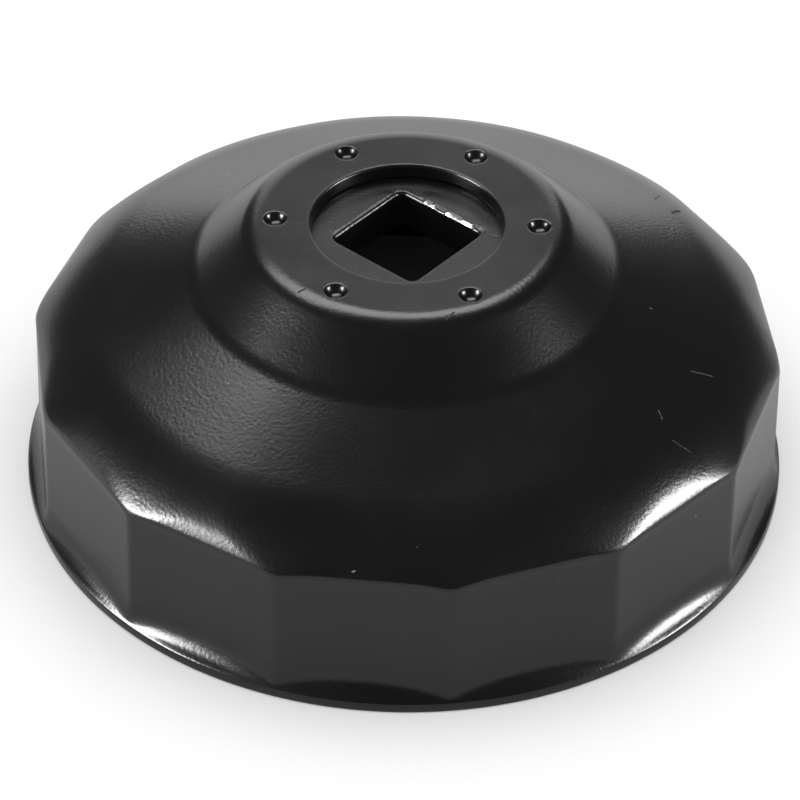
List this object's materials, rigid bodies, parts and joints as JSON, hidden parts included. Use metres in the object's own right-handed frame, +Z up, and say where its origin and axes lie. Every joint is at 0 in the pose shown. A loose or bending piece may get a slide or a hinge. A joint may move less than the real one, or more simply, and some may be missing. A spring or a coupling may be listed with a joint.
{
  "type": "oil filter wrench",
  "caption": "Cup oil filter wrench: pressed black steel cap with inside flats, a flanged mouth and a welded plate with a square drive hole under a flat, dimpled crown.",
  "frame": {"origin": "centre of the mouth, on the plane that the flange's underside rests on", "axes": "+Z up through the crown, along the turning axis; X and Y are square to the sides of the drive hole"},
  "size_m": [0.0944, 0.0944, 0.0364],
  "materials": {
    "cup_paint": "satin black paint with fine orange peel",
    "plate_paint": "satin black paint, bare along the worn edges of the square",
    "weld_steel": "fused steel, as welded"
  },
  "bodies": {
    "root": {"cup_shell": "cup_paint", "drive_plate": "plate_paint", "weld_nugget_1": "weld_steel", "weld_nugget_2": "weld_steel", "weld_nugget_3": "weld_steel", "weld_nugget_4": "weld_steel", "weld_nugget_5": "weld_steel", "weld_nugget_6": "weld_steel"}
  },
  "joints": []
}
